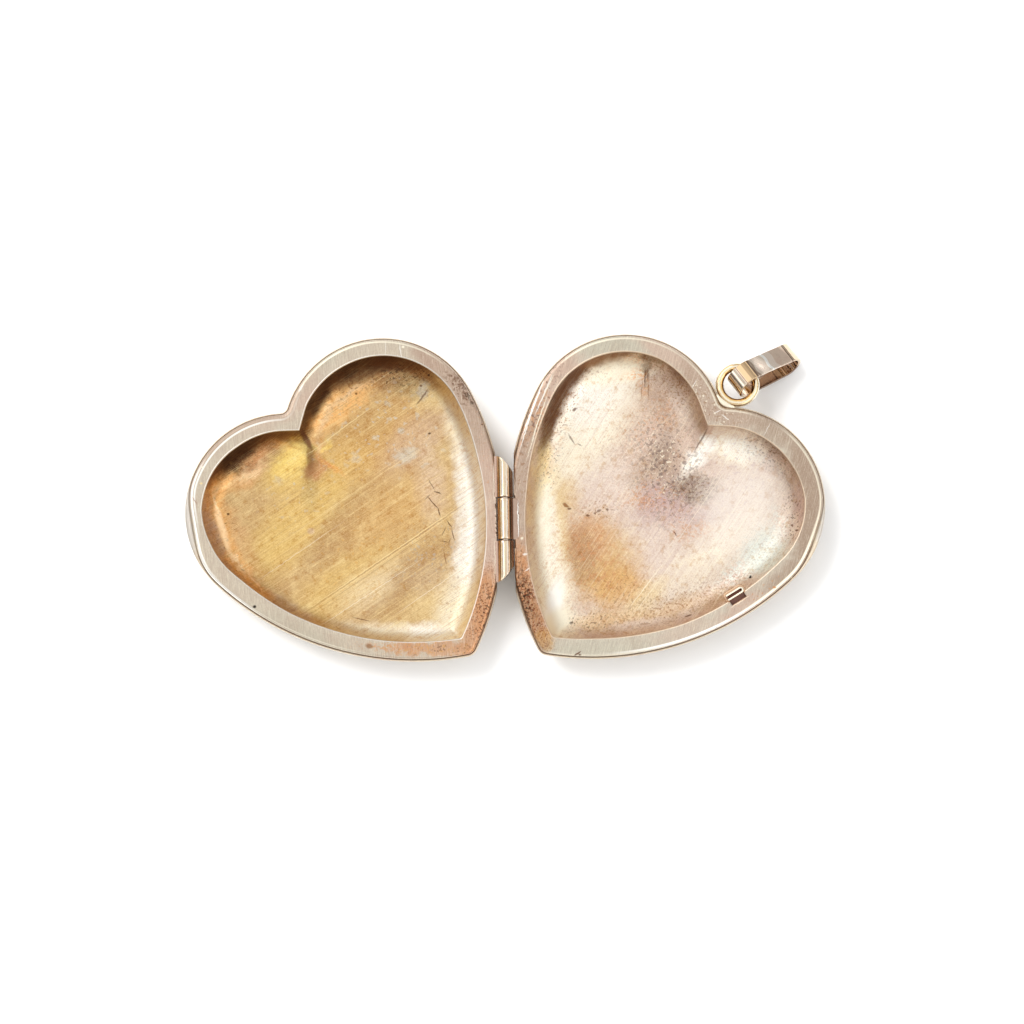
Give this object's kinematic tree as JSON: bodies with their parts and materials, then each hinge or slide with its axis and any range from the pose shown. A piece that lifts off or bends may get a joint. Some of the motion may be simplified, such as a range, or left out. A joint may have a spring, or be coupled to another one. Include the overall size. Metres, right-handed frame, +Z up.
{
  "type": "heart locket",
  "caption": "Open heart-shaped locket with two dished halves on a pin hinge, a spring catch, a soldered ring and a loose bail.",
  "frame": {"origin": "on the surface the locket lies on, below the middle of the open pair", "axes": "+X across the open pair towards the half with the ring, +Y along the hinge from the tips to the lobes, +Z up"},
  "size_m": [0.0558, 0.0284, 0.005],
  "materials": {
    "front_gold": "brushed gold rim, worn yellow-gold dish with brown tarnish",
    "back_gold": "brushed gold rim, pale pink-gold dish with mauve tarnish",
    "pin_gold": "drawn gold wire",
    "bail_gold": "polished gold strip, lightly tarnished"
  },
  "bodies": {
    "back_half": {"back_half": "back_gold"},
    "front_half": {"front_half": "front_gold", "hinge_pin": "pin_gold"},
    "bail": {"bail": "bail_gold"}
  },
  "joints": [
    {"name": "locket_hinge", "type": "hinge", "parent": "back_half", "child": "front_half", "pos_m": [0, -0.0019, 0.0039], "axis": [0, 1, 0], "range_deg": [0, 180]},
    {"name": "bail_swing", "type": "hinge", "parent": "back_half", "child": "bail", "pos_m": [0.02183, 0.0103, 0.00325], "axis": [0.5632, -0.7742, 0.2888], "range_deg": [-30, 90]}
  ]
}
